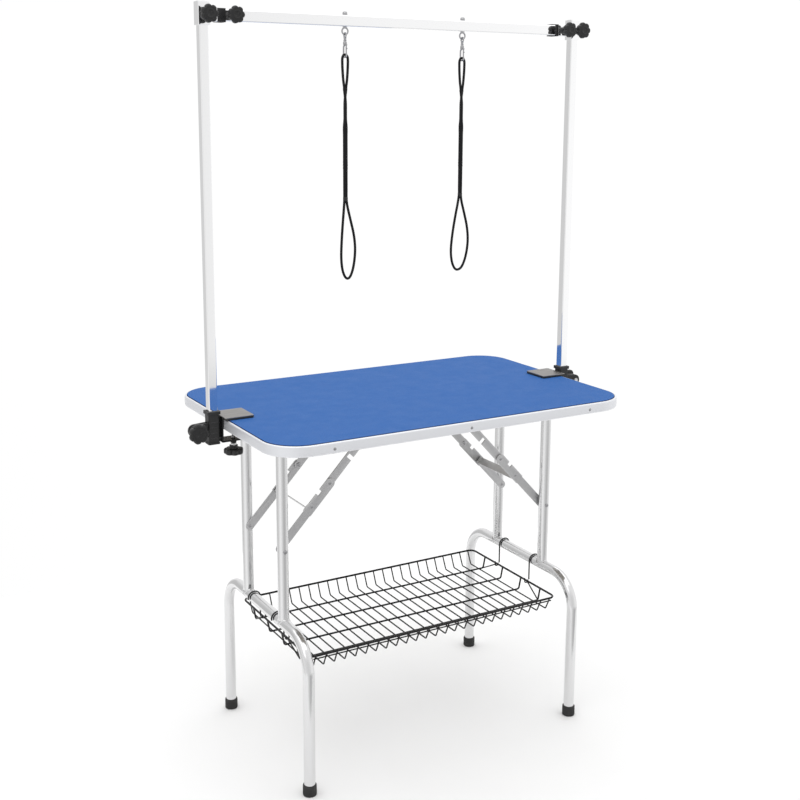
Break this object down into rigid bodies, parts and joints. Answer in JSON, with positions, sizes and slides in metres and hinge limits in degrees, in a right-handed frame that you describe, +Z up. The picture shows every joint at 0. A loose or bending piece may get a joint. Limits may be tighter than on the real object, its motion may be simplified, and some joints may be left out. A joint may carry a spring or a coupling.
{
  "type": "folding pet grooming table",
  "caption": "Folding grooming table with a rubber-matted top on two folding tube leg frames, a wire basket and a height-adjustable overhead bar with two hanging nooses.",
  "frame": {"origin": "on the floor under the middle of the table", "axes": "+X along the table's long side, +Y towards its back edge, +Z up"},
  "size_m": [1.0816, 0.59, 1.698],
  "materials": {
    "mat_rubber": "ribbed, matt",
    "board_wood": "plain",
    "trim_aluminium": "satin",
    "leg_chrome": "satin",
    "post_chrome": "polished",
    "brace_steel": "dull zinc",
    "jaw_steel": "dull",
    "black_plastic": "fine grain",
    "black_rubber": "matt",
    "black_wire": "gloss",
    "black_cord": "braided"
  },
  "bodies": {
    "table": {"tabletop_mat": "mat_rubber", "tabletop_board": "board_wood", "edge_trim": "trim_aluminium", "left_hinge_plate": "brace_steel", "left_clamp_socket": "black_plastic", "left_clamp_jaw": "jaw_steel", "left_clamp_rubber": "black_rubber", "right_hinge_plate": "brace_steel", "right_clamp_socket": "black_plastic", "right_clamp_jaw": "jaw_steel", "right_clamp_rubber": "black_rubber"},
    "left_legs": {"left_leg_upper_frame": "leg_chrome", "left_leg_lower_frame": "leg_chrome", "left_front_foot": "black_rubber", "left_back_foot": "black_rubber", "left_front_basket_hook": "black_wire", "left_back_basket_hook": "black_wire"},
    "left_upper_brace": {"left_front_upper_brace_link": "brace_steel", "left_back_upper_brace_link": "brace_steel"},
    "left_lower_brace": {"left_front_lower_brace_link": "brace_steel", "left_back_lower_brace_link": "brace_steel", "left_brace_tie": "brace_steel"},
    "right_legs": {"right_leg_upper_frame": "leg_chrome", "right_leg_lower_frame": "leg_chrome", "right_front_foot": "black_rubber", "right_back_foot": "black_rubber", "right_front_basket_hook": "black_wire", "right_back_basket_hook": "black_wire"},
    "right_upper_brace": {"right_front_upper_brace_link": "brace_steel", "right_back_upper_brace_link": "brace_steel"},
    "right_lower_brace": {"right_front_lower_brace_link": "brace_steel", "right_back_lower_brace_link": "brace_steel", "right_brace_tie": "brace_steel"},
    "basket": {"basket": "black_wire"},
    "left_clamp_screw": {"left_clamp_screw": "black_plastic"},
    "left_post_lock_knob": {"left_post_lock_knob": "black_plastic"},
    "left_post": {"left_post": "post_chrome"},
    "right_clamp_screw": {"right_clamp_screw": "black_plastic"},
    "right_post_lock_knob": {"right_post_lock_knob": "black_plastic"},
    "right_post": {"right_post": "post_chrome"},
    "crossbar": {"crossbar": "post_chrome", "left_corner_connector": "post_chrome", "left_crossbar_bushing": "black_plastic", "left_eye_bolt": "post_chrome", "right_corner_connector": "post_chrome", "right_crossbar_bushing": "black_plastic", "right_eye_bolt": "post_chrome"},
    "left_sleeve_knob": {"left_sleeve_knob": "black_plastic"},
    "left_crossbar_knob": {"left_crossbar_knob": "black_plastic"},
    "left_snap_swivel": {"left_snap_swivel": "post_chrome"},
    "left_snap_hook": {"left_snap_hook": "post_chrome", "left_noose": "black_cord"},
    "left_noose_slider": {"left_noose_slider": "black_plastic"},
    "right_sleeve_knob": {"right_sleeve_knob": "black_plastic"},
    "right_crossbar_knob": {"right_crossbar_knob": "black_plastic"},
    "right_snap_swivel": {"right_snap_swivel": "post_chrome"},
    "right_snap_hook": {"right_snap_hook": "post_chrome", "right_noose": "black_cord"},
    "right_noose_slider": {"right_noose_slider": "black_plastic"}
  },
  "joints": [
    {"name": "left_leg_fold", "type": "hinge", "parent": "table", "child": "left_legs", "pos_m": [-0.3585, 0, 0.778], "axis": [0, -1, 0], "range_deg": [0, 90]},
    {"name": "left_brace_swing", "type": "hinge", "parent": "table", "child": "left_upper_brace", "pos_m": [-0.1185, 0, 0.778], "axis": [0, 1, 0], "range_deg": [0, 36.7]},
    {"name": "left_brace_hinge", "type": "hinge", "parent": "left_upper_brace", "child": "left_lower_brace", "pos_m": [-0.23378, 0, 0.656], "axis": [0, -1, 0], "range_deg": [0, 179.39]},
    {"name": "right_leg_fold", "type": "hinge", "parent": "table", "child": "right_legs", "pos_m": [0.3585, 0, 0.766], "axis": [0, 1, 0], "range_deg": [0, 84]},
    {"name": "right_brace_swing", "type": "hinge", "parent": "table", "child": "right_upper_brace", "pos_m": [0.1185, 0, 0.766], "axis": [0, -1, 0], "range_deg": [0, 45.2]},
    {"name": "right_brace_hinge", "type": "hinge", "parent": "right_upper_brace", "child": "right_lower_brace", "pos_m": [0.23378, 0, 0.644], "axis": [0, 1, 0], "range_deg": [0, 171.7]},
    {"name": "basket_lift", "type": "slide", "parent": "table", "child": "basket", "axis": [0, 0, 1], "range_m": [0, 0.12]},
    {"name": "left_clamp_screw_travel", "type": "slide", "parent": "table", "child": "left_clamp_screw", "axis": [0, 0, 1], "range_m": [-0.02, 0]},
    {"name": "left_post_lock_turn", "type": "hinge", "parent": "table", "child": "left_post_lock_knob", "pos_m": [-0.519, 0, 0.795], "axis": [0, 1, 0], "continuous": true},
    {"name": "left_post_lift", "type": "slide", "parent": "table", "child": "left_post", "axis": [0, 0, 1], "range_m": [0, 0.05]},
    {"name": "right_clamp_screw_travel", "type": "slide", "parent": "table", "child": "right_clamp_screw", "axis": [0, 0, 1], "range_m": [-0.02, 0]},
    {"name": "right_post_lock_turn", "type": "hinge", "parent": "table", "child": "right_post_lock_knob", "pos_m": [0.519, 0, 0.795], "axis": [0, 1, 0], "continuous": true},
    {"name": "right_post_lift", "type": "slide", "parent": "table", "child": "right_post", "axis": [0, 0, 1], "range_m": [0, 0.05]},
    {"name": "crossbar_height", "type": "slide", "parent": "left_post", "child": "crossbar", "axis": [0, 0, 1], "range_m": [-0.25, 0]},
    {"name": "left_sleeve_knob_turn", "type": "hinge", "parent": "crossbar", "child": "left_sleeve_knob", "pos_m": [-0.478, 0, 1.671], "axis": [0, 1, 0], "continuous": true},
    {"name": "left_crossbar_knob_turn", "type": "hinge", "parent": "crossbar", "child": "left_crossbar_knob", "pos_m": [-0.42, 0, 1.671], "axis": [0, 1, 0], "continuous": true},
    {"name": "left_noose_swing", "type": "hinge", "parent": "crossbar", "child": "left_snap_swivel", "pos_m": [-0.148, 0, 1.6423], "axis": [1, 0, 0], "range_deg": [-50, 50]},
    {"name": "left_hook_turn", "type": "hinge", "parent": "left_snap_swivel", "child": "left_snap_hook", "pos_m": [-0.148, 0, 1.628], "axis": [0, 0, 1], "continuous": true},
    {"name": "left_slider_travel", "type": "slide", "parent": "left_snap_hook", "child": "left_noose_slider", "axis": [0, 0, 1], "range_m": [0, 0.05]},
    {"name": "right_sleeve_knob_turn", "type": "hinge", "parent": "crossbar", "child": "right_sleeve_knob", "pos_m": [0.478, 0, 1.671], "axis": [0, 1, 0], "continuous": true},
    {"name": "right_crossbar_knob_turn", "type": "hinge", "parent": "crossbar", "child": "right_crossbar_knob", "pos_m": [0.438, 0, 1.671], "axis": [0, 1, 0], "continuous": true},
    {"name": "right_noose_swing", "type": "hinge", "parent": "crossbar", "child": "right_snap_swivel", "pos_m": [0.158, 0, 1.6423], "axis": [1, 0, 0], "range_deg": [-50, 50]},
    {"name": "right_hook_turn", "type": "hinge", "parent": "right_snap_swivel", "child": "right_snap_hook", "pos_m": [0.158, 0, 1.628], "axis": [0, 0, 1], "continuous": true},
    {"name": "right_slider_travel", "type": "slide", "parent": "right_snap_hook", "child": "right_noose_slider", "axis": [0, 0, 1], "range_m": [0, 0.05]}
  ],
  "couplings": [
    {"joint": "left_brace_swing", "follows": "left_leg_fold", "ratio": 0.4056},
    {"joint": "left_brace_hinge", "follows": "left_leg_fold", "ratio": 1.991},
    {"joint": "right_brace_swing", "follows": "right_leg_fold", "ratio": 0.5357},
    {"joint": "right_brace_hinge", "follows": "right_leg_fold", "ratio": 2.0417},
    {"joint": "right_post_lift", "follows": "left_post_lift", "ratio": 1}
  ]
}
